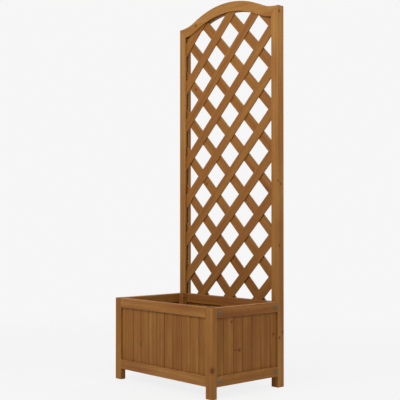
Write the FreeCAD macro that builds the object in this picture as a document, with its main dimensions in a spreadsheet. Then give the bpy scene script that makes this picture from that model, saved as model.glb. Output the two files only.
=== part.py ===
import FreeCAD, Part
import math
import os
import re

from FreeCAD import Rotation, Vector

# A garden planter with a tall trellis behind it, in stained fir, in millimetres.
# The box stands on two short front legs and on the two long rear posts, which carry
# an arched rail and a diagonal lattice. X runs along the width, +Y to the trellis at
# the back and +Z up. The origin is on the ground under the middle of the planter.

doc = FreeCAD.newDocument("planter_with_trellis")
sheet = doc.addObject("Spreadsheet::Sheet", "sizes")

SIZES = [
    # the whole
    ("width", 640, "across the legs"),
    ("depth", 420, "front of the legs to back of the posts"),
    ("box_height", 364, "ground to the top of the box"),
    ("foot_height", 48, "ground to the underside of the box"),
    ("post_height", 1632, "ground to the outer top corner of a rear post"),
    # legs, posts and rails
    ("leg_width", 39, "front leg, along X"),
    ("leg_depth", 27, "front leg, along Y"),
    ("post_width", 39, "rear post, along X"),
    ("post_depth", 38, "rear post, along Y"),
    ("rail_height", 42, "every rail of the box"),
    ("rail_thickness", 24, "every rail of the box"),
    ("edge_radius", 2.5, "planed round on legs, posts and rails"),
    # tongued and grooved boards
    ("board_cover", 54, "what one board covers, tongue left out"),
    ("board_thickness", 10, ""),
    ("board_inset", 9, "rail face to board face"),
    ("board_seat", 5, "how deep a board stands in a rail, leg or post"),
    ("side_first_board", 45, "ripped board at the starting end of a side"),
    ("tongue_length", 4, ""),
    ("tongue_thickness", 3, ""),
    ("board_bevel", 2, "each half of the V joint"),
    ("groove_play", 0.2, "on each face of a board or tongue in its groove"),
    ("joint_play", 0.3, "between two boards, and at a panel's ends"),
    ("head_play", 1, "over the boards, for swelling"),
    # arched rail
    ("arch_rise", 71, "post top to crest"),
    ("arch_flat", 7.5, "level end of the rail's top, over the post"),
    ("arch_hollow_radius", 225, "hollow curve next to each post, top side"),
    ("arch_rail_height", 44.5, "square to the curve"),
    # lattice
    ("lath_width", 44, ""),
    ("lath_thickness", 6, ""),
    ("lath_edge_radius", 1, "planed round along the laths"),
    ("lath_angle", 45, "degrees from level"),
    ("lath_spacing", 128.3, "centre to centre, square to the laths"),
    ("lattice_setback", 8, "front of the posts to the groove"),
    ("lattice_seat", 10, "how deep the groove runs into posts and rails"),
    ("lattice_play", 0.2, "on each side of the lattice in its groove"),
    ("lattice_end_play", 0.5, "lath end to bottom of the groove"),
    ("lattice_shift", 13, "middle of the planter to the middle crossings"),
    ("lattice_lift", 9, "top of the box to the lowest crossings"),
    ("brad_diameter", 1.6, "fixes each crossing"),
    ("brad_length", 10.5, ""),
    ("brad_play", 0.05, ""),
    # corner cleats, their bolts and screws
    ("cleat_size", 28, "square section"),
    ("bolt_setback", 12.5, "leg or post to the bolt, along the side rail"),
    ("bolt_diameter", 6, ""),
    ("bolt_length", 40, "under the head"),
    ("bolt_head_diameter", 15, ""),
    ("bolt_head_height", 2.2, ""),
    ("bolt_head_round", 1, ""),
    ("bolt_socket", 4, "across the flats"),
    ("bolt_socket_depth", 3, "through the head, into the shank"),
    ("bolt_play", 0.5, "on the radius, in the rail and the cleat"),
    ("thread_play", 0.05, "on the radius, in the insert and round it"),
    ("insert_diameter", 10, ""),
    ("insert_length", 13, ""),
    ("screw_diameter", 4, ""),
    ("screw_head_diameter", 8, "countersunk"),
    ("screw_head_height", 2.4, ""),
    ("screw_play", 0.1, ""),
    ("cleat_screw_length", 45, ""),
    ("cleat_screw_inset", 50, "bolt to the nearest cleat screw"),
    # dowels
    ("dowel_diameter", 6, ""),
    ("dowel_length", 36, ""),
    ("dowel_spacing", 14, "the two dowels of a joint"),
    ("dowel_play", 0.1, "on the radius, and at each end"),
    # floor
    ("ledger_size", 20, "square section"),
    ("ledger_play", 0.5, "ledger end to cleat"),
    ("ledger_screw_length", 35, ""),
    ("slat_width", 75, ""),
    ("slat_thickness", 12, ""),
    ("slat_least_gap", 10, "drainage gap between slats"),
    ("slat_play", 1, "slat to leg, post, side rail or cleat"),
    ("slat_screw_length", 26, ""),
]
for row, (alias, size, meaning) in enumerate(SIZES, start=1):
    sheet.set(f"A{row}", meaning or alias.replace("_", " "))
    sheet.set(f"B{row}", str(size))
    sheet.setAlias(f"B{row}", alias)
doc.recompute()

SIDES = ("left", "right")
ALIASES = {alias for alias, _, _ in SIZES}
TURNED = {
    "+Z": Rotation(),
    "-Z": Rotation(Vector(1, 0, 0), 180),
    "+X": Rotation(Vector(0, 1, 0), 90),
    "-X": Rotation(Vector(0, 1, 0), -90),
    "+Y": Rotation(Vector(1, 0, 0), -90),
    "-Y": Rotation(Vector(1, 0, 0), 90),
}
TOUCHING = 0.01   # two places nearer than this are the same one
LEAST_CUT = 0.01  # cubic mm, less than any cut takes away


def bound(expression):
    """The expression with every size named by its cell in the sheet."""
    return re.sub(
        r"[a-z_]+", lambda m: f"sizes.{m[0]}" if m[0] in ALIASES else m[0], expression
    )


def value(expression):
    """What the expression comes to, in millimetres or degrees."""
    result = sheet.evalExpression(bound(expression))
    return float(getattr(result, "Value", result))


def put(thing, at):
    """Binds the place of a piece to the sheet."""
    for axis, expression in zip("xyz", at):
        thing.setExpression(f"Placement.Base.{axis}", bound(expression))


def tilt(thing, axis, angle):
    """Binds the turn of a piece about its own starting corner to the sheet."""
    thing.Placement = FreeCAD.Placement(Vector(), Rotation(axis, value(angle)))
    thing.setExpression("Placement.Rotation.Angle", bound(angle))


def solid(kind, name, at, turn="+Z", body=None, cut=False, **sizes):
    """A primitive by itself, or added to or cut from a body. Its place and its sizes
    are bound to the sheet."""
    if body is None:
        thing = doc.addObject(f"Part::{kind}", name)
    else:
        how = "Subtractive" if cut else "Additive"
        thing = body.newObject(f"PartDesign::{how}{kind}", name)
    for size, expression in sizes.items():
        thing.setExpression(size, bound(expression))
    thing.Placement = FreeCAD.Placement(Vector(), TURNED[turn])
    put(thing, at)
    return thing


def box(name, at, size, body=None, cut=False):
    """A square-edged block from its low corner."""
    length, width, height = size
    return solid("Box", name, at, body=body, cut=cut, Length=length, Width=width, Height=height)


def rod(name, at, turn, radius, length, body=None, cut=False):
    """A round bar from the middle of one end."""
    return solid("Cylinder", name, at, turn, body, cut, Radius=radius, Height=length)


def group(name, pieces):
    """Like pieces kept as one sub-part of separate solids."""
    whole = doc.addObject("Part::Compound", name)
    whole.Label = name
    whole.Links = pieces
    return whole


def rounded(body, base, edges, radius):
    """Rounds the numbered edges of the body's last step to a radius from the sheet."""
    fillet = body.newObject("PartDesign::Fillet", f"{base.Name}_rounded")
    fillet.Base = (base, [f"Edge{number}" for number in edges])
    fillet.setExpression("Radius", bound(radius))


def member(name, at, size, eased, radius="edge_radius"):
    """A planed length of timber whose chosen edges are rounded. eased says of the
    direction and the middle of an edge whether it is one of them."""
    body = doc.addObject("PartDesign::Body", name)
    body.Label = name
    stock = box(f"{name}_stock", at, size, body)
    doc.recompute()
    edges = [
        number for number, edge in enumerate(stock.Shape.Edges, start=1)
        if eased(edge.tangentAt(edge.FirstParameter), edge.CenterOfMass)
    ]
    rounded(body, stock, edges, radius)
    return body


def low_x(side, near, far):
    """Low X of what lies from near to far of the middle, on that side."""
    return near if side == "right" else f"-({far})"


def on_x(side, distance):
    """X at a distance from the middle, on that side."""
    return distance if side == "right" else f"-({distance})"


# Planes that the pieces share.
FRONT = "(-depth / 2)"
LEG_BACK = "(-depth / 2 + leg_depth)"
POST_FRONT = "(depth / 2 - post_depth)"
LEG_INSIDE = "(width / 2 - leg_width)"
POST_INSIDE = "(width / 2 - post_width)"
RAIL_INSIDE = "(width / 2 - rail_thickness)"
CLEAT_INSIDE = "(width / 2 - rail_thickness - cleat_size)"
BOARD_FOOT = "(foot_height + rail_height - board_seat)"
BOARD_HEAD = "(box_height - rail_height + board_seat)"
LEVELS = {"bottom": "foot_height", "top": "(box_height - rail_height)"}

sub_parts = []


# --- Joints that several pieces share -------------------------------------------------
# Two dowels at each end of the front and rear rails, across the butt joint.

def dowel_spots(inside, face):
    """Name, side and start of each dowel of a frame, at its end inside the upright."""
    for side in SIDES:
        for level, foot in LEVELS.items():
            for place, sign in (("low", "-"), ("high", "+")):
                x = on_x(side, f"{inside} + dowel_length / 2")
                y = f"{face} + rail_thickness / 2"
                z = f"{foot} + rail_height / 2 {sign} dowel_spacing / 2"
                yield f"{side}_{level}_{place}", side, level, (x, y, z)


def inward(side):
    return "-X" if side == "right" else "+X"


def outward(side):
    return "+X" if side == "right" else "-X"


def bore_dowels(body, inside, face, wanted):
    """The dowel holes that fall in this leg, post or rail."""
    for name, side, level, (x, y, z) in dowel_spots(inside, face):
        if not wanted(side, level):
            continue
        start = f"{x} {'+' if side == 'right' else '-'} dowel_play"
        rod(
            f"{body.Name}_bore_{name}", (start, y, z), inward(side),
            "dowel_diameter / 2 + dowel_play", "dowel_length + 2 * dowel_play", body, cut=True,
        )


# A countersunk screw, and its hole in the piece under the head and in the piece beyond.

def screw(name, at, turn, length):
    head = solid(
        "Cone", f"{name}_head", at, turn,
        Radius1="screw_head_diameter / 2", Radius2="screw_diameter / 2", Height="screw_head_height",
    )
    whole = doc.addObject("Part::MultiFuse", name)
    whole.Shapes = [head, rod(f"{name}_shank", at, turn, "screw_diameter / 2", length)]
    return whole


def bore_screw(body, name, at, turn, length, under_head):
    if under_head:
        solid(
            "Cone", f"{name}_sink", at, turn, body, cut=True,
            Radius1="screw_head_diameter / 2 + screw_play", Radius2="screw_diameter / 2 + screw_play",
            Height="screw_head_height + screw_play",
        )
    rod(name, at, turn, "screw_diameter / 2 + screw_play", f"{length} + screw_play", body, cut=True)


CLEAT_SCREW_X = f"(({LEG_INSIDE} + {RAIL_INSIDE}) / 2)"
CLEAT_SCREW_LEVELS = {
    "low": "(foot_height + rail_height / 2 + cleat_screw_inset)",
    "high": "(box_height - rail_height / 2 - cleat_screw_inset)",
}
BOLT_LEVELS = {level: f"({foot} + rail_height / 2)" for level, foot in LEVELS.items()}
BOLT_ENDS = {"front": f"({LEG_BACK} + bolt_setback)", "rear": f"({POST_FRONT} - bolt_setback)"}
CLEAT_FACES = {"front": f"({LEG_BACK} + cleat_size)", "rear": f"({POST_FRONT} - cleat_size)"}
CLEAT_SCREW_TURNS = {"front": "-Y", "rear": "+Y"}


def bore_cleat_screws(body, side, end, under_head):
    """The cleat's screw holes, cut from the cleat or from what it is screwed to."""
    for level, z in CLEAT_SCREW_LEVELS.items():
        at = (on_x(side, CLEAT_SCREW_X), CLEAT_FACES[end], z)
        name = f"{body.Name}_screw_hole_{level}"
        bore_screw(body, name, at, CLEAT_SCREW_TURNS[end], "cleat_screw_length", under_head)


# --- Curve of the arch ---------------------------------------------------------------
# The rail is level over each post, hollow beside it and round over the middle. Both
# curves are arcs that meet in one tangent, so the crest's radius follows from the rise.

def arch_curve(inset, reach):
    """Edges of the curve, set in by inset from the rail's top, from -reach to +reach."""
    span = value("width / 2 - arch_flat")
    rise = value("arch_rise")
    hollow = value("arch_hollow_radius")
    post_top = value("post_height")
    both_radii = (span**2 + rise**2) / (2 * rise)
    crest = both_radii - hollow
    lean = math.asin(span / both_radii)
    crest_middle = post_top + rise - crest

    def on_crest(angle):
        radius = crest - inset
        return Vector(radius * math.sin(angle), 0, crest_middle + radius * math.cos(angle))

    def on_hollow(angle):
        radius = hollow + inset
        return Vector(span - radius * math.sin(angle), 0, post_top + hollow - radius * math.cos(angle))

    def mirrored(point):
        return Vector(-point.x, 0, point.z)

    ending = math.asin((span - reach) / (hollow + inset))
    middle = (lean + ending) / 2
    right = Part.Arc(on_hollow(lean), on_hollow(middle), on_hollow(ending)).toShape()
    left = Part.Arc(
        mirrored(on_hollow(ending)), mirrored(on_hollow(middle)), mirrored(on_hollow(lean))
    ).toShape()
    top = Part.Arc(mirrored(on_hollow(lean)), on_crest(0), on_hollow(lean)).toShape()
    return [left, top, right], on_hollow(ending)


def upright_prism(edges, start, end):
    """The closed outline, drawn in the XZ plane, run from Y = start to Y = end."""
    wire = Part.Wire(Part.sortEdges(edges)[0])
    wire.translate(Vector(0, start, 0))
    return Part.Face(wire).extrude(Vector(0, end - start, 0))


def lattice_space(seat, start, end):
    """The trellis opening grown by seat into posts, arch and top rail."""
    reach = value("width / 2 - post_width") + seat
    curve, corner = arch_curve(value("arch_rail_height") - seat, reach)
    foot = value("box_height") - seat
    outline = [
        Part.makeLine(corner, Vector(reach, 0, foot)),
        Part.makeLine(Vector(reach, 0, foot), Vector(-reach, 0, foot)),
        Part.makeLine(Vector(-reach, 0, foot), Vector(-reach, 0, corner.z)),
    ]
    return upright_prism(curve + outline, start, end)


def feature(name, shape):
    thing = doc.addObject("Part::Feature", name)
    thing.Shape = shape
    return thing


LATTICE_FRONT = f"({POST_FRONT} + lattice_setback)"
LATTICE_BACK = f"({LATTICE_FRONT} + 2 * lath_thickness + 2 * lattice_play)"
lattice_front = value(LATTICE_FRONT)
lattice_back = value(LATTICE_BACK)
lattice_groove = feature(
    "lattice_groove", lattice_space(value("lattice_seat"), lattice_front, lattice_back)
)

# The mitre runs from the post's outer top corner down to the inner corner of the arch.
MITRE_DROP = (
    "(sqrt((arch_hollow_radius + arch_rail_height)^2 - (post_width - arch_flat)^2)"
    " - arch_hollow_radius)"
)
MITRE_ANGLE = f"atan({MITRE_DROP} / post_width)"


# --- Front legs -----------------------------------------------------------------------
# Short and free-standing at the corners, rounded all over. A groove holds the boards.

def all_edges(direction, middle):
    return True


for side in SIDES:
    leg = member(
        f"front_leg_{side}",
        (low_x(side, LEG_INSIDE, "width / 2"), FRONT, "0"),
        ("leg_width", "leg_depth", "box_height"),
        all_edges,
    )
    box(
        f"front_leg_{side}_board_groove",
        (
            low_x(side, LEG_INSIDE, f"{LEG_INSIDE} + board_seat"),
            f"{FRONT} + board_inset - groove_play",
            BOARD_FOOT,
        ),
        ("board_seat", "board_thickness + 2 * groove_play", f"{BOARD_HEAD} - {BOARD_FOOT}"),
        leg, cut=True,
    )
    bore_dowels(leg, LEG_INSIDE, FRONT, lambda spot_side, level, here=side: spot_side == here)
    bore_cleat_screws(leg, side, "front", under_head=False)
    sub_parts.append(leg)


# --- Rear posts -----------------------------------------------------------------------
# Their tops are mitred to the arch. The lattice's groove runs from the rear top rail to
# the mitre, and the boards' groove between the two rear rails.

def arch_dowels(side, play):
    """The two dowels across one mitre, or with play their holes."""
    sign = 1 if side == "right" else -1
    pieces = []
    drop, angle = value(MITRE_DROP), math.radians(value(MITRE_ANGLE))
    half = value("dowel_length") / 2 + play
    for place in ("front", "rear"):
        forward = "- dowel_spacing / 2" if place == "front" else "+ dowel_spacing / 2"
        middle = Vector(
            sign * value("width / 2 - post_width / 2"),
            value(f"depth / 2 - post_depth / 2 {forward}"),
            value("post_height") - drop / 2,
        )
        along = Vector(sign * math.sin(angle), 0, -math.cos(angle))
        pieces.append(
            Part.makeCylinder(value("dowel_diameter / 2") + play, 2 * half, middle - along * half, along)
        )
    return pieces


mitre_bores = feature(
    "mitre_bores",
    Part.makeCompound([bore for side in SIDES for bore in arch_dowels(side, value("dowel_play"))]),
)


def all_but_top(direction, middle):
    return abs(direction.z) > 0.5 or middle.z < value("post_height / 2")


for side in SIDES:
    name = f"rear_post_{side}"
    post = member(
        f"{name}_timber",
        (low_x(side, POST_INSIDE, "width / 2"), POST_FRONT, "0"),
        ("post_width", "post_depth", "post_height"),
        all_but_top,
    )
    box(
        f"{name}_board_groove",
        (
            low_x(side, POST_INSIDE, f"{POST_INSIDE} + board_seat"),
            f"{POST_FRONT} + board_inset - groove_play",
            BOARD_FOOT,
        ),
        ("board_seat", "board_thickness + 2 * groove_play", f"{BOARD_HEAD} - {BOARD_FOOT}"),
        post, cut=True,
    )
    mitre = box(
        f"{name}_mitre",
        (POST_INSIDE if side == "right" else "-width / 2", POST_FRONT,
         f"post_height - {MITRE_DROP}" if side == "right" else "post_height"),
        (f"2 * post_width + {MITRE_DROP}", "post_depth", "post_width + post_depth"),
        post, cut=True,
    )
    tilt(mitre, Vector(0, 1, 0), f"-{MITRE_ANGLE}" if side == "right" else MITRE_ANGLE)
    bore_dowels(post, POST_INSIDE, POST_FRONT, lambda spot_side, level, here=side: spot_side == here)
    bore_cleat_screws(post, side, "rear", under_head=False)
    grooved = doc.addObject("Part::Cut", f"{name}_grooved")
    grooved.Base = post
    grooved.Tool = lattice_groove
    whole = doc.addObject("Part::Cut", name)
    whole.Label = name
    whole.Base = grooved
    whole.Tool = mitre_bores
    sub_parts.append(whole)


# --- Rails of the box -----------------------------------------------------------------
# Each rail holds the boards in a groove. The front and rear rails stand between the
# uprights on dowels, and the side rails are bolted to the corner cleats.

def along_x(direction, middle):
    return abs(direction.x) > 0.5


def along_y(direction, middle):
    return abs(direction.y) > 0.5


def groove_level(level):
    return BOARD_FOOT if level == "bottom" else LEVELS["top"]


for place, inside, face in (("front", LEG_INSIDE, FRONT), ("rear", POST_INSIDE, POST_FRONT)):
    for level, foot in LEVELS.items():
        name = f"{place}_{level}_rail"
        joined = place == "rear" and level == "top"
        rail = member(
            f"{name}_timber" if joined else name,
            (f"-{inside}", face, foot),
            (f"2 * {inside}", "rail_thickness", "rail_height"),
            along_x,
        )
        box(
            f"{name}_board_groove",
            (f"-{inside}", f"{face} + board_inset - groove_play", groove_level(level)),
            (f"2 * {inside}", "board_thickness + 2 * groove_play", "board_seat"),
            rail, cut=True,
        )
        bore_dowels(rail, inside, face, lambda spot_side, spot_level, here=level: spot_level == here)
        if joined:
            whole = doc.addObject("Part::Cut", name)
            whole.Label = name
            whole.Base = rail
            whole.Tool = lattice_groove
            rail = whole
        sub_parts.append(rail)

for side in SIDES:
    for level, foot in LEVELS.items():
        name = f"{side}_side_{level}_rail"
        rail = member(
            name,
            (low_x(side, RAIL_INSIDE, "width / 2"), LEG_BACK, foot),
            ("rail_thickness", f"{POST_FRONT} - {LEG_BACK}", "rail_height"),
            along_y,
        )
        groove_far = "width / 2 - board_inset + groove_play"
        groove_near = "width / 2 - board_inset - board_thickness - groove_play"
        box(
            f"{name}_board_groove",
            (low_x(side, groove_near, groove_far), LEG_BACK, groove_level(level)),
            ("board_thickness + 2 * groove_play", f"{POST_FRONT} - {LEG_BACK}", "board_seat"),
            rail, cut=True,
        )
        for end, y in BOLT_ENDS.items():
            rod(
                f"{name}_bolt_hole_{end}", (on_x(side, "width / 2"), y, BOLT_LEVELS[level]),
                inward(side), "bolt_diameter / 2 + bolt_play", "rail_thickness", rail, cut=True,
            )
        sub_parts.append(rail)


# --- Boards ---------------------------------------------------------------------------
# A panel is drawn flat: along it from 0, its outer face on Y = 0 and its thickness
# towards +Y. Each board has a tongue on its far edge and a groove on its near one, and
# both face edges are bevelled to a V.

def board(name, near, far, first, last):
    body = doc.addObject("PartDesign::Body", name)
    start = f"({near} + joint_play)"
    length = f"{BOARD_HEAD} - {BOARD_FOOT} - head_play"
    end = f"({far} - joint_play)" if last else far
    box(f"{name}_stock", (start, "0", "0"), (f"{end} - {start}", "board_thickness", length), body)
    tongue_face = "(board_thickness - tongue_thickness) / 2"
    bevels = []
    if not last:
        box(
            f"{name}_tongue", (far, tongue_face, "0"),
            ("tongue_length", "tongue_thickness", length), body,
        )
        bevels.append(("far", far))
    if not first:
        box(
            f"{name}_groove", (start, f"{tongue_face} - groove_play", "0"),
            ("tongue_length", "tongue_thickness + 2 * groove_play", length), body, cut=True,
        )
        bevels.append(("near", start))
    for place, arris in bevels:
        bevel = box(
            f"{name}_bevel_{place}", (arris, "-board_bevel", "0"),
            ("board_bevel * sqrt(2)", "board_bevel * sqrt(2)", length), body, cut=True,
        )
        bevel.Placement.Rotation = Rotation(Vector(0, 0, 1), 45)
    return body


def panel(name, run, first_width, count, at, turn):
    """Boards side by side along run, then set in their rails."""
    boards = []
    for number in range(count):
        near = "0" if number == 0 else f"({first_width} + {number - 1} * board_cover)"
        last = number == count - 1
        far = run if last else f"({first_width} + {number} * board_cover)"
        boards.append(board(f"{name}_{number + 1}", near, far, number == 0, last))
    whole = group(name, boards)
    whole.Placement = FreeCAD.Placement(Vector(), Rotation(Vector(0, 0, 1), turn))
    put(whole, at)
    sub_parts.append(whole)


for name, inside, at, turn in (
    (
        "front_boards", LEG_INSIDE,
        (f"-({LEG_INSIDE} + board_seat)", f"{FRONT} + board_inset", BOARD_FOOT), 0,
    ),
    (
        "rear_boards", POST_INSIDE,
        (f"{POST_INSIDE} + board_seat", f"{POST_FRONT} + board_inset + board_thickness", BOARD_FOOT), 180,
    ),
):
    run = f"(2 * {inside} + 2 * board_seat)"
    count = math.ceil(value(run) / value("board_cover"))
    panel(name, run, f"({run} - {count - 1} * board_cover)", count, at, turn)

side_run = f"({POST_FRONT} - {LEG_BACK})"
side_count = 1 + math.ceil((value(side_run) - value("side_first_board")) / value("board_cover"))
panel(
    "right_side_boards", side_run, "side_first_board", side_count,
    ("width / 2 - board_inset", LEG_BACK, BOARD_FOOT), 90,
)
panel(
    "left_side_boards", side_run, "side_first_board", side_count,
    ("-width / 2 + board_inset", POST_FRONT, BOARD_FOOT), -90,
)


# --- Corner cleats, bolts, inserts and screws -----------------------------------------
# A cleat is screwed to each leg and post inside the box. The side rails are drawn to it
# by two socket-headed bolts that turn into threaded inserts.

def upright_edges(direction, middle):
    return abs(direction.z) > 0.5


bolts, inserts, cleat_screws = [], [], []
for side in SIDES:
    for end, y in BOLT_ENDS.items():
        name = f"corner_cleat_{end}_{side}"
        low_y = LEG_BACK if end == "front" else CLEAT_FACES[end]
        cleat = member(
            name, (low_x(side, CLEAT_INSIDE, RAIL_INSIDE), low_y, "foot_height"),
            ("cleat_size", "cleat_size", "box_height - foot_height"), upright_edges,
        )
        for level, z in BOLT_LEVELS.items():
            where = (on_x(side, RAIL_INSIDE), y, z)
            rod(
                f"{name}_insert_hole_{level}", where, inward(side),
                "insert_diameter / 2 + thread_play", "insert_length", cleat, cut=True,
            )
            rod(
                f"{name}_bolt_hole_{level}", where, inward(side),
                "bolt_diameter / 2 + bolt_play", "cleat_size", cleat, cut=True,
            )
            insert = doc.addObject("Part::Cut", f"insert_{side}_{end}_{level}")
            insert.Base = rod(
                f"{insert.Name}_outside", where, inward(side), "insert_diameter / 2", "insert_length"
            )
            insert.Tool = rod(
                f"{insert.Name}_thread", where, inward(side),
                "bolt_diameter / 2 + thread_play", "insert_length",
            )
            inserts.append(insert)

            bolt = doc.addObject("PartDesign::Body", f"bolt_{side}_{end}_{level}")
            at = (on_x(side, "width / 2"), y, z)
            head = rod(
                f"{bolt.Name}_head", at, outward(side), "bolt_head_diameter / 2", "bolt_head_height", bolt
            )
            doc.recompute()
            rim = [
                number for number, edge in enumerate(head.Shape.Edges, start=1)
                if isinstance(edge.Curve, Part.Circle)
                and abs(edge.CenterOfMass.x) > value("width / 2 + bolt_head_height / 2")
            ]
            rounded(bolt, head, rim, "bolt_head_round")
            rod(f"{bolt.Name}_shank", at, inward(side), "bolt_diameter / 2", "bolt_length", bolt)
            solid(
                "Prism", f"{bolt.Name}_socket",
                (on_x(side, "width / 2 + bolt_head_height - bolt_socket_depth"), y, z), outward(side),
                bolt, cut=True, Circumradius="bolt_socket / sqrt(3)", Height="bolt_socket_depth",
            )
            bolts.append(bolt)
        bore_cleat_screws(cleat, side, end, under_head=True)
        for level, z in CLEAT_SCREW_LEVELS.items():
            cleat_screws.append(
                screw(
                    f"cleat_screw_{end}_{side}_{level}", (on_x(side, CLEAT_SCREW_X), CLEAT_FACES[end], z),
                    CLEAT_SCREW_TURNS[end], "cleat_screw_length",
                )
            )
        sub_parts.append(cleat)
sub_parts.append(group("side_bolts", bolts))
sub_parts.append(group("threaded_inserts", inserts))
sub_parts.append(group("cleat_screws", cleat_screws))


# --- Floor ----------------------------------------------------------------------------
# Two ledgers are screwed to the bottom rails, under the end gaps and the middle gaps of
# the slats that lie across them. Water runs out between the slats, and the end slats are
# notched round the corner cleats.

slat_room = f"(2 * {RAIL_INSIDE} - 2 * slat_play)"
slat_count = int(value(f"({slat_room} + slat_least_gap)") // value("slat_width + slat_least_gap"))
slat_step = f"(({slat_room} - slat_width) / {slat_count - 1})"
LEDGERS = {
    "front": (f"({FRONT} + rail_thickness)", "-Y"),
    "rear": (f"({POST_FRONT} - ledger_size)", "+Y"),
}
rail_screw_gaps = sorted({0, (slat_count - 2) // 2, (slat_count - 1) // 2, slat_count - 2})
ledger_screws, slat_screws = [], []
for end, (low_y, turn) in LEDGERS.items():
    name = f"floor_ledger_{end}"
    ledger = member(
        name, (f"-({CLEAT_INSIDE} - ledger_play)", low_y, "foot_height"),
        (f"2 * ({CLEAT_INSIDE} - ledger_play)", "ledger_size", "ledger_size"), along_x,
    )
    head_y = f"{low_y} + ledger_size" if end == "front" else low_y
    for number, gap in enumerate(rail_screw_gaps, start=1):
        at = (
            f"({gap} + 1 - {slat_count} / 2) * {slat_step}", head_y, "foot_height + ledger_size / 2",
        )
        bore_screw(ledger, f"{name}_rail_screw_{number}", at, turn, "ledger_screw_length", under_head=True)
        rail = doc.getObject(f"{end}_bottom_rail")
        bore_screw(
            rail, f"{rail.Name}_ledger_screw_{number}", at, turn, "ledger_screw_length", under_head=False
        )
        ledger_screws.append(screw(f"ledger_screw_{end}_{number}", at, turn, "ledger_screw_length"))
    for number in range(slat_count):
        at = (
            f"({number} + 0.5 - {slat_count} / 2) * {slat_step}",
            f"{low_y} + ledger_size / 2", "foot_height + ledger_size + slat_thickness",
        )
        bore_screw(
            ledger, f"{name}_slat_screw_{number + 1}", at, "-Z", "slat_screw_length", under_head=False
        )
        slat_screws.append(screw(f"slat_screw_{end}_{number + 1}", at, "-Z", "slat_screw_length"))
    sub_parts.append(ledger)

for number in range(slat_count):
    name = f"floor_slat_{number + 1}"
    low = f"({number} * {slat_step} - {slat_room} / 2)"
    slat = member(
        name, (low, f"{LEG_BACK} + slat_play", "foot_height + ledger_size"),
        ("slat_width", f"{POST_FRONT} - {LEG_BACK} - 2 * slat_play", "slat_thickness"), along_y,
    )
    for end, (low_y, _) in LEDGERS.items():
        at = (f"{low} + slat_width / 2", f"{low_y} + ledger_size / 2",
              "foot_height + ledger_size + slat_thickness")
        bore_screw(slat, f"{name}_screw_{end}", at, "-Z", "slat_screw_length", under_head=True)
    for side in SIDES:
        near = value(f"{CLEAT_INSIDE} - slat_play")
        middle = value(f"{low} + slat_width / 2") * (1 if side == "right" else -1)
        if middle + value("slat_width / 2") <= near:
            continue
        for end in LEDGERS:
            notch_y = f"{LEG_BACK}" if end == "front" else f"{CLEAT_FACES[end]} - slat_play"
            box(
                f"{name}_notch_{end}",
                (
                    low_x(side, f"{CLEAT_INSIDE} - slat_play", RAIL_INSIDE), notch_y,
                    "foot_height + ledger_size",
                ),
                ("cleat_size + slat_play", "cleat_size + slat_play", "slat_thickness"), slat, cut=True,
            )
    sub_parts.append(slat)
sub_parts.append(group("ledger_screws", ledger_screws))
sub_parts.append(group("slat_screws", slat_screws))


# --- Arched rail ----------------------------------------------------------------------
# Sawn from one plank, mitred to the posts and grooved underneath for the lattice.

def arch_blank():
    """The rail with its mitred ends, its long edges rounded."""
    start, end = value(POST_FRONT), value("depth / 2")
    half, inside = value("width / 2"), value("width / 2 - post_width")
    post_top = value("post_height")
    upper, upper_end = arch_curve(0, value("width / 2 - arch_flat"))
    lower, lower_end = arch_curve(value("arch_rail_height"), inside)
    outline = upper + lower
    for sign in (1, -1):
        outer = Vector(sign * half, 0, post_top)
        outline.append(Part.makeLine(Vector(sign * upper_end.x, 0, upper_end.z), outer))
        outline.append(Part.makeLine(outer, Vector(sign * inside, 0, lower_end.z)))
    blank = upright_prism(outline, start, end)
    mitre_middles = [
        Vector(sign * (half + inside) / 2, face, (post_top + lower_end.z) / 2)
        for sign in (1, -1) for face in (start, end)
    ]
    long_edges = [
        edge for edge in blank.Edges
        if any(abs(edge.CenterOfMass.y - face) < TOUCHING for face in (start, end))
        and all(edge.CenterOfMass.distanceToPoint(middle) > TOUCHING for middle in mitre_middles)
    ]
    return blank.makeFillet(value("edge_radius"), long_edges)


arch_grooved = doc.addObject("Part::Cut", "arch_rail_grooved")
arch_grooved.Base = feature("arch_rail_blank", arch_blank())
arch_grooved.Tool = lattice_groove
arch_rail = doc.addObject("Part::Cut", "arch_rail")
arch_rail.Label = "arch_rail"
arch_rail.Base = arch_grooved
arch_rail.Tool = mitre_bores
sub_parts.append(arch_rail)


# --- Frame dowels ---------------------------------------------------------------------
# Those of the front and rear rails, and two across each mitre of the arch.

dowels = []
for place, inside, face in (("front", LEG_INSIDE, FRONT), ("rear", POST_INSIDE, POST_FRONT)):
    for name, side, level, start in dowel_spots(inside, face):
        dowels.append(
            rod(f"dowel_{place}_{name}", start, inward(side), "dowel_diameter / 2", "dowel_length")
        )
for side in SIDES:
    for number, shape in enumerate(arch_dowels(side, 0), start=1):
        dowels.append(feature(f"dowel_arch_{side}_{number}", shape))
sub_parts.append(group("frame_dowels", dowels))


# --- Lattice --------------------------------------------------------------------------
# Two layers of laths cross square to each other. The front layer rises to the right and
# the rear one to the left. Their ends stand in the groove, cut to its shape, and a brad
# from behind holds each crossing.

LATH_STEP = "(lath_spacing / sin(lath_angle))"
LATTICE_FOOT = "(box_height + lattice_lift)"
REACH_UP = "(post_height + arch_rise - box_height)"
CUT_OFF = "(2 * lath_width)"
LAYERS = {
    # angle from level, counted from +X, and the layer's front face
    "front": ("lath_angle", f"({LATTICE_FRONT} + lattice_play)"),
    "rear": ("(180 - lath_angle)", f"({LATTICE_FRONT} + lattice_play + lath_thickness)"),
}
lattice_middle = (lattice_front + lattice_back) / 2
lattice_trim = feature(
    "lattice_trim",
    lattice_space(value("lattice_seat - lattice_end_play"), lattice_front, lattice_back),
)
opening = lattice_space(0, lattice_front, lattice_back)


def lath_foot(number):
    """X of a lath at the level of the lowest crossings, counted from the middle one."""
    return f"(lattice_shift + {number} * {LATH_STEP})"


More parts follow.
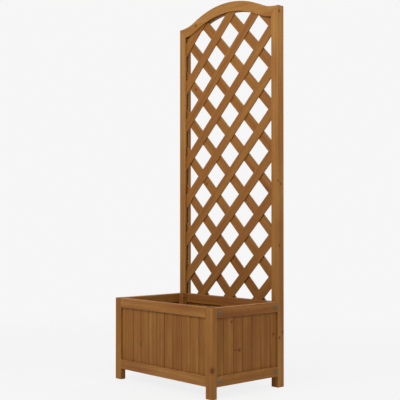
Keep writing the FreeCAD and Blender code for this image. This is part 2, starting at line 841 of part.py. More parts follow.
def crosses_opening(number, angle):
    """Whether a lath runs through the opening for more than its own width."""
    foot = Vector(value(lath_foot(number)), lattice_middle, value(LATTICE_FOOT))
    turn = math.radians(value(angle))
    along = Vector(math.cos(turn), 0, math.sin(turn)) * value(f"{REACH_UP} / sin(lath_angle)")
    middle_line = Part.makeLine(foot - along, foot + along)
    return middle_line.common(lattice_trim.Shape).Length > value("lath_width")


most = math.ceil(value(f"(width + {REACH_UP} / tan(lath_angle)) / {LATH_STEP}"))
laths = {
    layer: [number for number in range(-most, most + 1) if crosses_opening(number, angle)]
    for layer, (angle, _) in LAYERS.items()
}

brads, holes = [], []
for front_number in laths["front"]:
    for rear_number in laths["rear"]:
        x = lath_foot((front_number + rear_number) / 2)
        z = f"({LATTICE_FOOT} + {(rear_number - front_number) / 2} * {LATH_STEP} * tan(lath_angle))"
        if not opening.isInside(Vector(value(x), lattice_middle, value(z)), TOUCHING, True):
            continue
        at = (x, f"{LATTICE_BACK} - lattice_play", z)
        number = len(brads) + 1
        brads.append(rod(f"brad_{number}", at, "-Y", "brad_diameter / 2", "brad_length"))
        holes.append(
            rod(
                f"brad_hole_{number}", at, "-Y",
                "brad_diameter / 2 + brad_play", "brad_length + brad_play",
            )
        )
brad_holes = group("brad_holes", holes)

for layer, (angle, low_y) in LAYERS.items():
    for count, number in enumerate(laths[layer], start=1):
        name = f"{layer}_lath_{count}"
        stock = member(
            f"{name}_stock", (f"-{CUT_OFF}", "0", "-lath_width / 2"),
            (f"{REACH_UP} / sin(lath_angle) + 2 * {CUT_OFF}", "lath_thickness", "lath_width"),
            along_x, "lath_edge_radius",
        )
        tilt(stock, Vector(0, -1, 0), angle)
        put(stock, (lath_foot(number), low_y, LATTICE_FOOT))
        cut = doc.addObject("Part::Common", f"{name}_cut")
        cut.Base = stock
        cut.Tool = lattice_trim
        lath = doc.addObject("Part::Cut", name)
        lath.Label = name
        lath.Base = cut
        lath.Tool = brad_holes
        sub_parts.append(lath)
sub_parts.append(group("lattice_brads", brads))


# --- Checks and files -----------------------------------------------------------------

doc.recompute()
for thing in doc.Objects:
    if "Invalid" in thing.State or "Error" in thing.State:
        raise RuntimeError(f"{thing.Label} could not be worked out: {thing.State}")
    if thing.TypeId.startswith("PartDesign::Subtractive"):
        if thing.Shape.Volume > thing.BaseFeature.Shape.Volume - LEAST_CUT:
            raise RuntimeError(f"{thing.Label} cuts nothing")
for part in sub_parts:
    if part.Shape.isNull() or not part.Shape.isValid():
        raise RuntimeError(f"{part.Label} has no valid shape")

os.makedirs("parts", exist_ok=True)
for part in sub_parts:
    part.Shape.exportStep(f"parts/{part.Label}.step")
    print(f"{part.Label}: {len(part.Shape.Solids)} solid(s), {part.Shape.Volume / 1000:.1f} cm3")
print(f"{len(sub_parts)} sub-parts")
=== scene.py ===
import math

import bpy
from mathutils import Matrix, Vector


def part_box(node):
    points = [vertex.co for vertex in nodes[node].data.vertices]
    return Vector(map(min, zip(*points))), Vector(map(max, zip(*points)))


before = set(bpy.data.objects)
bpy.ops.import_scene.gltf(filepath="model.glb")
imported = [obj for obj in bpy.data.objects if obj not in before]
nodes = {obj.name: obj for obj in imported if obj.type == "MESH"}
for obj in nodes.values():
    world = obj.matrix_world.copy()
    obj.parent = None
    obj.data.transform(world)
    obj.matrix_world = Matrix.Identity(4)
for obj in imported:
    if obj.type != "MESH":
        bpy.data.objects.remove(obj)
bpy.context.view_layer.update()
bpy.context.scene.view_settings.view_transform = "Standard"

# --- Front legs -----------------------------------------------------------------------
# Two short lengths of planed fir at the front corners, their edges rounded over. They
# carry a brown wood stain, brushed on thin and rubbed off, through which the yearly
# rings, the fibres and a few knots show.

SIDES = ("left", "right")
ALONG_Z = ((1, 0, 0), (0, 1, 0), (0, 0, 1))  # across, through and along the grain
GOLDEN_WOOD = "#976A30"  # fir under one coat of stain
PINK_WOOD = "#986437"    # the same where the wood is redder
KNOT_HEART = "#5A3114"
KNOT_RIM = "#331A0B"     # bark and resin round a knot
END_STAIN = "#57350F"    # end grain drinks more stain
SEAM_STAIN = "#35200C"   # stain that ran into a seam and stayed
RUBBED_EDGE = "#B0814A"  # stain wiped thin over an edge
RING_WIDTH = 4.0         # mm, a year's growth of a fast-grown fir
FIBRE_WIDTH = 0.9        # mm, coarser than the real 0.04 mm, so that it shows
BRUSH_WIDTH = 3.2        # mm, a streak that the bristles left
BAND_WIDTH = 20.0        # mm, a band of wood that took the stain lighter or darker
BLOTCH_WIDTH = 70.0      # mm, a patch that took it lighter or darker
WANDER_WIDTH = 80.0      # mm, from one bend of the rings to the next
KNOT_SPACING = 95.0      # mm across the grain, from one chance knot to the next
KNOT_RADIUS = 4.0        # mm, the largest chance knot
PIN_KNOT_RADIUS = 0.76   # mm, the smallest
GRAIN_HEIGHT = 0.4       # mm, of a relief of 1


def linear(hex_colour):
    """An sRGB hex colour as the linear colour that a shader takes."""
    channels = [int(hex_colour[place:place + 2], 16) / 255 for place in (1, 3, 5)]
    return [c / 12.92 if c <= 0.04045 else ((c + 0.055) / 1.055) ** 2.4 for c in channels] + [1.0]


def add(tree, kind, *values, **named):
    """A node of this kind. values go to its sockets in their order, names with a capital
    are sockets (Base_Color) and the others the node's own settings. Gives its outputs."""
    node = tree.nodes.new(f"ShaderNode{kind}")
    sockets = dict(enumerate(values))
    for name, given in named.items():
        if name[0].isupper():
            sockets[name.replace("_", " ")] = given
        else:
            setattr(node, name, given)
    for socket, given in sockets.items():
        if isinstance(given, bpy.types.NodeSocket):
            tree.links.new(given, node.inputs[socket])
        else:
            node.inputs[socket].default_value = given
    return node.outputs


def new_material(name):
    """A material without nodes, and the tree for them."""
    material = bpy.data.materials.new(name)
    material.use_nodes = True
    material.node_tree.nodes.clear()
    return material, material.node_tree


def fir_pattern():
    """Grain, knots and stain of a piece of fir as one node group, with painted light and
    shade in how deep the stain lies. Place is in mm from the middle of the piece: across it,
    through it and along the grain."""
    tree = bpy.data.node_groups.new("stained fir", "ShaderNodeTree")
    for name, kind in (
        ("Place", "Vector"), ("Half size", "Vector"), ("Piece", "Vector"), ("Stain", "Float"),
        ("Redness", "Float"), ("Variety", "Float"), ("Known knots", "Float"),
        ("End grain", "Float"), ("Seams", "Float"),
    ):
        tree.interface.new_socket(name, in_out="INPUT", socket_type=f"NodeSocket{kind}")
    for name, kind in (("Colour", "Color"), ("Roughness", "Float"), ("Relief", "Float")):
        tree.interface.new_socket(name, in_out="OUTPUT", socket_type=f"NodeSocket{kind}")
    given = tree.nodes.new("NodeGroupInput").outputs
    place, piece, variety = given["Place"], given["Piece"], given["Variety"]

    noise = {}
    for name, width, length, detail, apart in (
        # width across the grain and length along it in mm, how finely it is broken up,
        # and how far apart in the pattern two pieces may be cut
        ("fibre", FIBRE_WIDTH, 40.0, 3.0, 91.0),
        ("band", BAND_WIDTH, 480.0, 0.8, 57.0),
        ("brush", BRUSH_WIDTH, 160.0, 2.0, 71.0),
        ("blotch", BLOTCH_WIDTH, 240.0, 2.0, 33.0),
        ("wander", WANDER_WIDTH, 520.0, 0.0, 21.0),
    ):
        per_mm = (1 / width, 1 / width, 1 / length)
        drawn = add(tree, "VectorMath", place, per_mm, operation="MULTIPLY")[0]
        drawn = add(tree, "VectorMath", piece, [apart] * 3, drawn, operation="MULTIPLY_ADD")[0]
        noise[name] = add(tree, "TexNoise", Vector=drawn, Scale=1.0, Detail=detail)
    fibre, band, brush, blotch = (
        noise[name]["Fac"] for name in ("fibre", "band", "brush", "blotch")
    )

    # Knots: branches that were sawn through, here and there and at the known places.
    # Distances to a knot's middle are counted in its own radius, and the fibres make its
    # outline ragged. From the middle outwards lie the heartwood, a rim and a halo.
    per_cell = (1 / KNOT_SPACING, 1 / KNOT_SPACING, 0.4 / KNOT_SPACING)
    cells = add(tree, "VectorMath", place, per_cell, operation="MULTIPLY")[0]
    cells = add(tree, "VectorMath", piece, [143.0] * 3, cells, operation="MULTIPLY_ADD")[0]
    branch = add(tree, "TexVoronoi", Vector=cells, Scale=1.0)
    branch_chance = add(tree, "SeparateColor", branch["Color"])[0]
    branch_radius = add(
        tree, "MapRange", branch_chance, 0.3, 1.0,
        PIN_KNOT_RADIUS / KNOT_SPACING, KNOT_RADIUS / KNOT_SPACING,
    )[0]
    chance_knot = add(tree, "Math", branch["Distance"], branch_radius, operation="DIVIDE")[0]
    knot = add(tree, "Math", chance_knot, given["Known knots"], operation="MINIMUM")[0]
    ragged = add(tree, "Math", fibre, 0.5, -0.25, operation="MULTIPLY_ADD")[0]
    knot = add(tree, "Math", knot, ragged, operation="ADD")[0]
    near_knot = add(tree, "Math", knot, -0.7, operation="MULTIPLY")[0]
    near_knot = add(tree, "Math", near_knot, operation="EXPONENT")[0]
    heartwood, inner_rim, outer_rim, halo = (
        add(tree, "MapRange", knot, *reach, interpolation_type="SMOOTHSTEP")[0]
        for reach in (
            # the radii between which it changes, and from what strength to what
            (0.85, 1.1, 0.7, 0.0), (0.7, 0.95, 0.0, 1.0), (1.05, 1.3, 0.85, 0.0),
            (0.8, 3.0, 1.0, 0.0),
        )
    )
    rim = add(tree, "Math", inner_rim, outer_rim, operation="MULTIPLY")[0]

    # Rings about the heart of the tree, which lies a little outside the piece and leans,
    # so that they come out on its faces as long lines and arches. Knots push them aside.
    # Each darkens slowly from early to late wood and ends short, and no two are as wide.
    # The heart lies up to 30 mm to either side of the middle and 14 to 60 mm past it.
    flat = add(tree, "VectorMath", place, (1.0, 1.0, 0.0), operation="MULTIPLY")[0]
    heart = add(
        tree, "VectorMath", piece, (60.0, 46.0, 0.0), (-30.0, 14.0, 0.0), operation="MULTIPLY_ADD"
    )[0]
    bend = add(
        tree, "VectorMath", noise["wander"]["Color"], (14.0, 10.0, 0.0), (-7.0, -5.0, 0.0),
        operation="MULTIPLY_ADD",
    )[0]
    chance = add(tree, "SeparateXYZ", piece)
    lean = add(tree, "Math", chance[2], 0.16, -0.08, operation="MULTIPLY_ADD")[0]
    rise = add(tree, "Math", add(tree, "SeparateXYZ", place)[2], lean, operation="MULTIPLY")[0]
    leaning = add(tree, "CombineXYZ", 0.0, rise, 0.0)[0]
    from_heart = add(tree, "VectorMath", flat, heart, operation="ADD")[0]
    from_heart = add(tree, "VectorMath", from_heart, bend, operation="ADD")[0]
    from_heart = add(tree, "VectorMath", from_heart, leaning, operation="ADD")[0]
    radius = add(tree, "VectorMath", from_heart, operation="LENGTH")["Value"]
    radius = add(tree, "Math", near_knot, 2.2 * KNOT_RADIUS, radius, operation="MULTIPLY_ADD")[0]
    years = add(tree, "Math", radius, RING_WIDTH, operation="DIVIDE")[0]
    uneven = add(tree, "TexNoise", W=years, Scale=0.45, noise_dimensions="1D")["Fac"]
    season = add(tree, "Math", uneven, 1.6, years, operation="MULTIPLY_ADD")[0]
    season = add(tree, "Math", season, operation="FRACT")[0]
    thickens = add(tree, "MapRange", season, 0.3, 0.88, interpolation_type="SMOOTHSTEP")[0]
    stops = add(tree, "MapRange", season, 0.93, 1.0, 1.0, 0.0, interpolation_type="SMOOTHSTEP")[0]
    strength = add(tree, "MapRange", uneven, 0.3, 0.7, 0.1, 0.5)[0]
    late = add(tree, "Math", thickens, stops, operation="MULTIPLY")[0]
    late = add(tree, "Math", late, strength, operation="MULTIPLY")[0]

    # Distance in mm to the nearest edge of the piece: the middle one of its three gaps.
    # Up to 3 mm from an edge the stain is rubbed off, or has pooled where it is a seam.
    gaps = add(tree, "VectorMath", place, operation="ABSOLUTE")[0]
    gaps = add(tree, "VectorMath", given["Half size"], gaps, operation="SUBTRACT")[0]
    gap = add(tree, "SeparateXYZ", gaps)
    smaller = add(tree, "Math", gap[0], gap[1], operation="MINIMUM")[0]
    larger = add(tree, "Math", gap[0], gap[1], operation="MAXIMUM")[0]
    larger = add(tree, "Math", larger, gap[2], operation="MINIMUM")[0]
    edge = add(tree, "Math", smaller, larger, operation="MAXIMUM")[0]
    edge = add(tree, "Math", brush, 1.6, edge, operation="MULTIPLY_ADD")[0]
    rubbed = add(tree, "MapRange", edge, 1.0, 3.0, 0.32, 0.0, interpolation_type="SMOOTHSTEP")[0]
    pooled = add(tree, "MapRange", edge, 1.2, 2.9, 1.0, 0.0, interpolation_type="SMOOTHSTEP")[0]
    fullness = add(tree, "Math", chance[1], 0.5, 0.5, operation="MULTIPLY_ADD")[0]
    pooled = add(tree, "Math", pooled, fullness, operation="MULTIPLY")[0]
    pooled = add(tree, "Math", pooled, given["Seams"], operation="MULTIPLY")[0]
    unseamed = add(tree, "Math", 1.0, given["Seams"], operation="SUBTRACT")[0]
    rubbed = add(tree, "Math", rubbed, unseamed, operation="MULTIPLY")[0]

    # Colour: the stain lies deeper on some pieces, partly as painted light and shade, and on
    # bands, brush marks and fibres, on the late wood and round a knot, and what is deeper is
    # darker and stronger in colour.
    stain = given["Stain"]
    for source, share, usual, amount in (
        # what deepens it, by how much, at what strength it changes nothing, and how much
        # of that shows
        (band, 0.8, 0.5, variety), (blotch, 0.5, 0.5, variety), (chance[0], 0.14, 0.5, variety),
        (late, 0.26, 0.1, variety), (brush, 0.2, 0.5, 1.0), (fibre, 0.25, 0.5, 1.0),
        (halo, 0.35, 0.0, 1.0),
    ):
        change = add(tree, "Math", source, share, -share * usual, operation="MULTIPLY_ADD")[0]
        stain = add(tree, "Math", change, amount, stain, operation="MULTIPLY_ADD")[0]
    redness = add(tree, "Math", blotch, 1.2, -0.6, operation="MULTIPLY_ADD")[0]
    redness = add(tree, "Math", redness, variety, operation="MULTIPLY")[0]
    redness = add(tree, "Math", chance[2], 0.15, redness, operation="MULTIPLY_ADD")[0]
    redness = add(tree, "Math", redness, given["Redness"], operation="ADD", use_clamp=True)[0]
    colour = add(tree, "MixRGB", redness, linear(GOLDEN_WOOD), linear(PINK_WOOD))[0]
    colour = add(tree, "Gamma", colour, stain)[0]
    darkened = add(tree, "Math", given["End grain"], 0.7, operation="MULTIPLY")[0]
    for amount, shade in (
        (darkened, END_STAIN), (rubbed, RUBBED_EDGE), (pooled, SEAM_STAIN),
        (heartwood, KNOT_HEART), (rim, KNOT_RIM),
    ):
        colour = add(tree, "MixRGB", amount, colour, linear(shade))[0]

    # Dense late wood shines a little more, and end grain stays dull. The planer leaves
    # the late wood and the fibres a few hundredths of a millimetre proud.
    rough = add(tree, "Math", late, -0.16, 0.55, operation="MULTIPLY_ADD")[0]
    rough = add(tree, "Math", fibre, 0.22, rough, operation="MULTIPLY_ADD")[0]
    rough = add(tree, "Math", given["End grain"], 0.25, rough, operation="MULTIPLY_ADD")[0]
    relief = add(tree, "Math", fibre, 0.2, operation="MULTIPLY")[0]
    relief = add(tree, "Math", late, 0.12, relief, operation="MULTIPLY_ADD")[0]
    relief = add(tree, "Math", rim, -0.15, relief, operation="MULTIPLY_ADD")[0]
    result = tree.nodes.new("NodeGroupOutput").inputs
    for name, output in (("Colour", colour), ("Roughness", rough), ("Relief", relief)):
        tree.links.new(output, result[name])
    return tree


FIR_PATTERN = fir_pattern()


def middle_and_size(name):
    """Middle and size of a CAD piece, in mm."""
    low, high = (Vector(corner) * 1000 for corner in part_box(name))
    return (low + high) / 2, high - low


def stained_fir(
    name, grain, middle, size, pitch, number, stain, redness=0.2, variety=0.8, knots=(), seams=0.0
):
    """Stained fir with the low satin sheen of open grain, for one piece or for like pieces
    a pitch apart across the grain. middle and size are the first piece's in mm, in the
    order of the grain's directions. number starts its chances, and the depth after it is
    how deep the stain lies, in coats, and also painted light and shade: shallower on pieces
    that stand high in the light, deeper on those lower down or in shade. variety is how
    much its chances show. knots are (place, radius), in mm from the ground under the
    middle of the planter."""
    material, tree = new_material(name)
    point = add(
        tree, "VectorMath", add(tree, "TexCoord")["Object"], Scale=1000.0, operation="SCALE"
    )[0]
    place = []
    for direction, centre in zip(grain, middle):
        run = add(tree, "VectorMath", point, direction, operation="DOT_PRODUCT")["Value"]
        place.append(add(tree, "Math", run, centre, operation="SUBTRACT")[0])
    index = float(number)
    if pitch:
        count = add(tree, "Math", place[0], pitch, operation="DIVIDE")[0]
        count = add(tree, "Math", count, operation="ROUND")[0]
        place[0] = add(tree, "Math", count, -pitch, place[0], operation="MULTIPLY_ADD")[0]
        index = add(tree, "Math", count, index, operation="ADD")[0]
    nearest = 100.0  # knot radii, too far off to show
    for spot, radius in knots:
        away = add(tree, "VectorMath", point, spot, operation="DISTANCE")["Value"]
        away = add(tree, "Math", away, radius, operation="DIVIDE")[0]
        nearest = add(tree, "Math", away, nearest, operation="MINIMUM")[0]
    normal = add(tree, "NewGeometry")["True Normal"]
    facing = add(tree, "VectorMath", normal, grain[2], operation="DOT_PRODUCT")["Value"]
    facing = add(tree, "Math", facing, operation="ABSOLUTE")[0]
    pattern = add(
        tree, "Group", node_tree=FIR_PATTERN, Place=add(tree, "CombineXYZ", *place)[0],
        Half_size=[length / 2 for length in size],
        Piece=add(tree, "TexWhiteNoise", W=index, noise_dimensions="1D")["Color"],
        Stain=stain, Redness=redness, Variety=variety, Known_knots=nearest,
        End_grain=add(tree, "MapRange", facing, 0.6, 0.9)[0], Seams=seams,
    )
    grain_relief = add(
        tree, "Bump", Strength=0.6, Distance=GRAIN_HEIGHT / 1000, Height=pattern["Relief"]
    )[0]
    shader = add(
        tree, "BsdfPrincipled", Base_Color=pattern["Colour"], Roughness=pattern["Roughness"],
        Normal=grain_relief, IOR=1.5, Specular_IOR_Level=0.25,
    )[0]
    add(tree, "OutputMaterial", shader)
    return material


def finish_with(material, names):
    """Puts the material on each CAD piece, in every slot that it has."""
    for name in names:
        piece = nodes[name]
        if not piece.material_slots:
            piece.data.materials.append(material)
        for slot in piece.material_slots:
            slot.material = material


def finish_fir(name, pieces, grain, number, **choices):
    """Stained fir on pieces that lie side by side at one pitch, worked out from where
    the first two are."""
    middle, size = middle_and_size(pieces[0])
    directions = [Vector(direction) for direction in grain]
    pitch = 0.0
    if len(pieces) > 1:
        pitch = abs((middle_and_size(pieces[1])[0] - middle).dot(directions[0]))
    material = stained_fir(
        name, grain, [middle.dot(d) for d in directions], [size.dot(d) for d in directions],
        pitch, number, **choices,
    )
    finish_with(material, pieces)


finish_fir(
    "stained fir, front legs", [f"front_leg_{side}" for side in SIDES], ALONG_Z, 11,
    stain=1.2, redness=0.1, variety=0.7, knots=[((319, -209, 116), 7)],
)

# --- Rear posts -----------------------------------------------------------------------
# Two long fir posts that run from the ground to the arch. Their tops are mitred, and a
# groove down the inner face of each holds the lattice.

# The posts' stain lies shallower than the boards': painted light, as they stand high in the light.
finish_fir(
    "stained fir, rear posts", [f"rear_post_{side}" for side in SIDES], ALONG_Z, 23,
    stain=1.12, redness=0.1, variety=0.7,
    knots=[
        ((320, 181, 212), 3.5), ((320, 201, 234), 3.5), ((320, 175, 880), 2.5),
        ((320, 189, 867), 3), ((320, 182, 604), 3), ((320, 182, 1607), 3.5),
    ],
)

# --- Rails of the box -----------------------------------------------------------------
# Planed fir, top and bottom on all four sides. Front and rear rails butt between the
# uprights on dowels, and the side rails are drawn up tight by bolts.

ALONG_X = ((0, 0, 1), (0, 1, 0), (1, 0, 0))
ALONG_Y = ((0, 0, 1), (1, 0, 0), (0, 1, 0))
# The deeper stain on the rear and right-side rails is painted shade, over a real difference from
# piece to piece.
for place, grain, number, stain in (
    ("front", ALONG_X, 31, 1.15), ("rear", ALONG_X, 37, 1.3),
    ("left_side", ALONG_Y, 41, 1.15), ("right_side", ALONG_Y, 47, 1.26),
):
    finish_fir(
        f"stained fir, {place.replace('_', ' ')} rails",
        [f"{place}_{level}_rail" for level in ("bottom", "top")], grain, number, stain=stain,
    )

# --- Boards ---------------------------------------------------------------------------
# Tongued and grooved fir matchboard. Both face edges of a board are bevelled, and stain
# gathers dark in the V between two of them.

BOARD_COVER = 54.0   # mm, from one V to the next
RIPPED_BOARD = 45.0  # mm, the first board of a side, cut narrower
SIDE_BOARD_GRAIN = ((0, 1, 0), (1, 0, 0), (0, 0, 1))
# The boards' stain lies deeper than the posts' and the arch's: painted shade, as they stand low
# and set back under the top rails.
for panel, grain, first_end, before, number, stain, knots in (
    # first_end is the high (1) or low (-1) end that the boards are counted from, and
    # before what lies between it and the first whole board, in mm
    ("front_boards", ALONG_Z, 1, 0.0, 53, 1.27, [((-147, -201, 172), 3)]),
    ("rear_boards", ALONG_Z, -1, 0.0, 67, 1.2, []),
    ("right_side_boards", SIDE_BOARD_GRAIN, -1, RIPPED_BOARD, 79, 1.26,
     [((311, -94, 300), 3), ((311, -50, 182), 4), ((311, -73, 184), 2.5), ((311, 154, 229), 3.5)]),
    ("left_side_boards", SIDE_BOARD_GRAIN, 1, RIPPED_BOARD, 97, 1.22, []),
):
    middle, size = middle_and_size(panel)
    across, through, along = (Vector(direction) for direction in grain)
    to_whole_board = size.dot(across) / 2 - before - BOARD_COVER / 2
    finish_with(
        stained_fir(
            f"stained fir, {panel.replace('_', ' ')}", grain,
            (
                middle.dot(across) + first_end * to_whole_board,
                middle.dot(through), middle.dot(along),
            ),
            (BOARD_COVER, size.dot(through), size.dot(along)),
            BOARD_COVER, number, stain, redness=0.0, variety=0.7, knots=knots, seams=1.0,
        ),
        [panel],
    )

# --- Corner cleats --------------------------------------------------------------------
# Four lengths of square fir, one upright in each inside corner of the box. Screws hold
# them to the legs and the posts.

for end, number in (("front", 113), ("rear", 127)):
    finish_fir(
        f"stained fir, {end} cleats", [f"corner_cleat_{end}_{side}" for side in SIDES],
        ALONG_Z, number, stain=1.2,
    )

# --- Floor ----------------------------------------------------------------------------
# Fir slats across two ledgers, with gaps between them that let water out. The ledgers
# are screwed to the bottom rails, and each slat to both ledgers.

SLAT_GRAIN = ((1, 0, 0), (0, 0, 1), (0, 1, 0))
for end, number in (("front", 131), ("rear", 137)):
    finish_fir(f"stained fir, {end} ledger", [f"floor_ledger_{end}"], ALONG_X, number, stain=1.2)
finish_fir(
    "stained fir, floor slats", sorted(name for name in nodes if name.startswith("floor_slat")),
    SLAT_GRAIN, 139, stain=1.2,
)

# --- Bolts, inserts, screws and brads -------------------------------------------------
# Steel, plated with zinc against rust except for the brads. The bolts' flat button heads
# with a hex socket show on the sides of the box, and the rest is hidden in the timber.

HANDLED_ZINC = "#7C796C"
FRESH_ZINC = "#8E8C82"
YELLOW_ZINC = "#B7A468"
BRIGHT_STEEL = "#B4B4B2"
# shade painted into the bolts' hex sockets
SOCKET_SHADE = "#1C1A16"
CLOUD_WIDTH = 4.0           # mm, a patch where the skin is duller
SCUFF_WIDTH = 0.6           # mm, coarser than the real 0.05 mm, so that it shows
SCUFF_HEIGHT = 0.1          # mm, deeper than real for the same reason
BOLT_HEAD_RADIUS = 7.5      # mm
SOCKET_SHADE_RADII = (2.2, 4.2)     # mm, where the painted shade in a socket starts to thin, and ends


def plated_steel(name, colour, rough, sockets=None):
    """Steel with a barrel-plated zinc skin: a grey metal, a little cloudy, with fine
    scuffs from the tumbling that blur what it reflects. sockets are the middle between
    the bolts and their distances from it, and painted shade darkens the steel there, in
    the hex sockets."""
    material, tree = new_material(name)
    point = add(
        tree, "VectorMath", add(tree, "TexCoord")["Object"], Scale=1000.0, operation="SCALE"
    )[0]
    cloud = add(tree, "TexNoise", Vector=point, Scale=1 / CLOUD_WIDTH, Detail=3.0)["Fac"]
    scuff = add(tree, "TexNoise", Vector=point, Scale=1 / SCUFF_WIDTH, Detail=2.0)["Fac"]
    bright = linear(colour)
    dull = [0.6 * channel for channel in bright[:3]] + [1.0]
    skin = add(tree, "MixRGB", cloud, bright, dull)[0]
    if sockets:
        centre, reach = sockets
        away = add(tree, "VectorMath", point, centre, operation="SUBTRACT")[0]
        away = add(tree, "VectorMath", away, operation="ABSOLUTE")[0]
        away = add(tree, "VectorMath", away, reach, operation="SUBTRACT")[0]
        away = add(tree, "VectorMath", away, (0.0, 1.0, 1.0), operation="MULTIPLY")[0]
        away = add(tree, "VectorMath", away, operation="LENGTH")["Value"]
        # Painted shade: a dark disc in the middle of each bolt head, where its hex socket is
        socket_shade = add(
            tree, "MapRange", away, *SOCKET_SHADE_RADII, 0.85, 0.0, interpolation_type="SMOOTHSTEP"
        )[0]
        skin = add(tree, "MixRGB", socket_shade, skin, linear(SOCKET_SHADE))[0]
    roughness = add(tree, "MapRange", scuff, 0.0, 1.0, rough - 0.1, rough + 0.12)[0]
    scuffed = add(tree, "Bump", Strength=0.3, Distance=SCUFF_HEIGHT / 1000, Height=scuff)[0]
    shader = add(
        tree, "BsdfPrincipled", Base_Color=skin, Metallic=1.0, Roughness=roughness, Normal=scuffed
    )[0]
    add(tree, "OutputMaterial", shader)
    return material


between_bolts, bolts_size = middle_and_size("side_bolts")
to_a_bolt = bolts_size / 2 - Vector((0, BOLT_HEAD_RADIUS, BOLT_HEAD_RADIUS))
finish_with(
    plated_steel("zinc plated steel, bolts", HANDLED_ZINC, 0.5, (between_bolts, to_a_bolt)),
    ["side_bolts"],
)
finish_with(plated_steel("zinc plated steel, inserts", FRESH_ZINC, 0.45), ["threaded_inserts"])
finish_with(
    plated_steel("yellow zinc plated steel, screws", YELLOW_ZINC, 0.4),
    ["cleat_screws", "ledger_screws", "slat_screws"],
)
finish_with(plated_steel("bright steel, brads", BRIGHT_STEEL, 0.35), ["lattice_brads"])

# --- Dowels ---------------------------------------------------------------------------
# Turned beech, left bare and glued across the butt joints of the box and the mitres of
# the arch. All of them are hidden in the timber.

PALE_BEECH = "#D9B98C"
BROWN_FLECK = "#B98E5E"
FLECK_LENGTH = 16.0   # mm, coarser than the real 3 mm by 0.3 mm, so that it shows
FLECK_WIDTH = 1.1     # mm
PORE_DEPTH = 0.1      # mm


def bare_beech():
    """Beech: pale and close-grained, with short brown flecks along the grain."""
    material, tree = new_material("bare beech, dowels")
    drawn = add(
        tree, "VectorMath", add(tree, "TexCoord")["Object"],
        (1000 / FLECK_LENGTH, 1000 / FLECK_WIDTH, 1000 / FLECK_WIDTH), operation="MULTIPLY",
    )[0]
    fleck = add(tree, "TexNoise", Vector=drawn, Scale=1.0, Detail=2.0)["Fac"]
    colour = add(tree, "MixRGB", fleck, linear(PALE_BEECH), linear(BROWN_FLECK))[0]
    pores = add(tree, "Bump", Strength=0.3, Distance=PORE_DEPTH / 1000, Height=fleck)[0]
    shader = add(tree, "BsdfPrincipled", Base_Color=colour, Roughness=0.6, Normal=pores)[0]
    add(tree, "OutputMaterial", shader)
    return material


finish_with(bare_beech(), ["frame_dowels"])

# --- Arched rail ----------------------------------------------------------------------
# One wide fir plank, sawn to the curve, so that its grain runs straight across the arch.
# Its ends are mitred to the posts, and a groove in its underside holds the lattice.

# Its stain lies shallowest of all: painted light, as the arch stands highest.
finish_fir(
    "stained fir, arched rail", ["arch_rail"], ALONG_X, 151, stain=1.05, redness=0.0,
    variety=0.55, knots=[((-205, 172, 1635), 4)],
)

# --- Lattice --------------------------------------------------------------------------
# Thin fir laths in two layers at 45 degrees, pinned with brads where they cross. Their
# ends stand in the groove that runs round the posts, the arch and the rear top rail.

LATH_WIDTH = 44.0      # mm
LATH_THICKNESS = 6.0   # mm
LATH_LENGTH = 4000.0   # mm, past any end, as no end shows
LATH_SPACING = 128.3   # mm, across the laths
LOWEST_CROSSING = Vector((13.0, 0.0, 373.0))  # mm, where the middle lines of two meet
LATH_KNOTS = [((-221, 186, 1335), 3.5), ((-253, 186, 984), 3.5), ((-142, 186, 883), 3.5)]
diagonal = math.sqrt(0.5)
for layer, lean, number in (("front", 1, 173), ("rear", -1, 191)):
    along = Vector((lean * diagonal, 0, diagonal))
    across = Vector((diagonal, 0, -lean * diagonal))
    laths = [name for name in nodes if name.startswith(f"{layer}_lath")]
    layer_y = middle_and_size(laths[0])[0].y
    finish_with(
        stained_fir(
            f"stained fir, {layer} laths", (across, (0, 1, 0), along),
            (LOWEST_CROSSING.dot(across), layer_y, LOWEST_CROSSING.dot(along)),
            (LATH_WIDTH, LATH_THICKNESS, LATH_LENGTH),
            LATH_SPACING, number, stain=1.26, redness=0.0, variety=0.5, knots=LATH_KNOTS,
        ),
        laths,
    )

# --- Studio ---------------------------------------------------------------------------
# A pale floor under soft light, so that the planter stands on a faint shadow of its own
# before a plain near-white ground.

BACKGROUND = linear("#F6F6F6")
PAPER = "#E0E0E0"
PAPER_FIBRES = "#E5E5E5"
AMBIENT = 0.36           # strength of the light from all round
FLOOR_RADIUS = 6.0       # m
FADE_RADII = (0.8, 3.0)  # m, where the floor starts to fade to the background, and ends
FLOOR_LIFT = 0.91        # how much of the background lies over the floor near the planter
MOTTLE_WIDTH = 0.025     # m, a clump of fibres, coarser than real, so that it shows


def seen_directly(tree):
    """1 for a ray from the camera, a mirror or through glass, 0 for one that lights."""
    path = add(tree, "LightPath")
    seen = add(tree, "Math", path["Is Camera Ray"], path["Is Glossy Ray"], operation="MAXIMUM")[0]
    return add(tree, "Math", seen, path["Is Transmission Ray"], operation="MAXIMUM")[0]


world = bpy.data.worlds.new("studio")
bpy.context.scene.world = world
world.use_nodes = True
tree = world.node_tree
tree.nodes.clear()
ambient = add(tree, "Background", (1.0, 1.0, 1.0, 1.0), AMBIENT)[0]
backdrop = add(tree, "Background", BACKGROUND, 1.0)[0]
mixed = add(tree, "MixShader", seen_directly(tree), ambient, backdrop)[0]
add(tree, "OutputWorld", mixed)

bpy.ops.mesh.primitive_circle_add(
    vertices=96, radius=FLOOR_RADIUS, fill_type="NGON", location=(0, 0, 0)
)
floor = bpy.context.object
floor.name = "studio_floor"
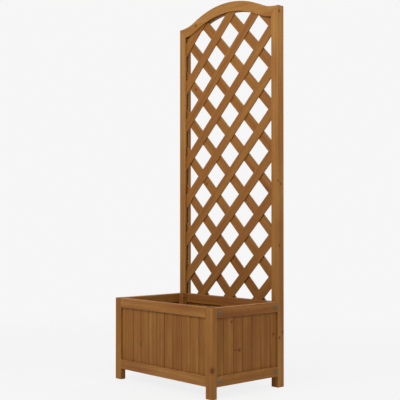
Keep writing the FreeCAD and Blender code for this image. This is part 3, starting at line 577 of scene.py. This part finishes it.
# Matt paper with a faint mottle, which gives the shadow and no reflection
paper, tree = new_material("pale paper floor")
point = add(tree, "TexCoord")["Object"]
mottle = add(tree, "TexNoise", Vector=point, Scale=1 / MOTTLE_WIDTH, Detail=4.0)["Fac"]
pale = add(tree, "MixRGB", mottle, linear(PAPER), linear(PAPER_FIBRES))[0]
matt = add(tree, "BsdfDiffuse", pale)[0]
glow = add(tree, "Emission", BACKGROUND, 1.0)[0]
lift = add(tree, "Math", seen_directly(tree), FLOOR_LIFT, operation="MULTIPLY")[0]
near = add(tree, "MixShader", lift, matt, glow)[0]
span = add(tree, "VectorMath", point, operation="LENGTH")["Value"]
far = add(tree, "MapRange", span, *FADE_RADII, interpolation_type="SMOOTHSTEP")[0]
far = add(tree, "Math", far, seen_directly(tree), operation="MULTIPLY")[0]
whole = add(tree, "MixShader", far, near, glow)[0]
add(tree, "OutputMaterial", whole)
floor.data.materials.append(paper)

for name, place, aim, width, power in (
    # soft boxes: where each stands and what it is turned to, in m, and its power in W
    ("key", (0.2, -2.2, 2.3), (0.0, 0.0, 1.25), 1.2, 55.0),
    ("side", (2.3, 0.1, 2.8), (0.0, 0.1, 1.5), 1.3, 40.0),
    ("back", (-1.2, 2.4, 2.4), (0.0, 0.0, 1.0), 1.4, 40.0),
):
    lamp = bpy.data.lights.new(name, "AREA")
    lamp.shape = "SQUARE"
    lamp.size = width
    lamp.energy = power
    holder = bpy.data.objects.new(name, lamp)
    holder.location = place
    holder.rotation_euler = (Vector(aim) - Vector(place)).to_track_quat("-Z", "Y").to_euler()
    bpy.context.collection.objects.link(holder)

# The camera stands off the right front corner, 0.7 m above the ground, and its lens is
# shifted up, so that the uprights lean little.
lens = bpy.data.cameras.new("camera")
lens.sensor_width = 36.0
lens.lens = 74.85
lens.shift_y = 0.035
camera = bpy.data.objects.new("camera", lens)
camera.location = (2.7265, -2.4443, 0.6979)
camera.rotation_euler = (math.radians(90.653), 0.0, math.radians(47.956))
bpy.context.collection.objects.link(camera)
bpy.context.scene.camera = camera
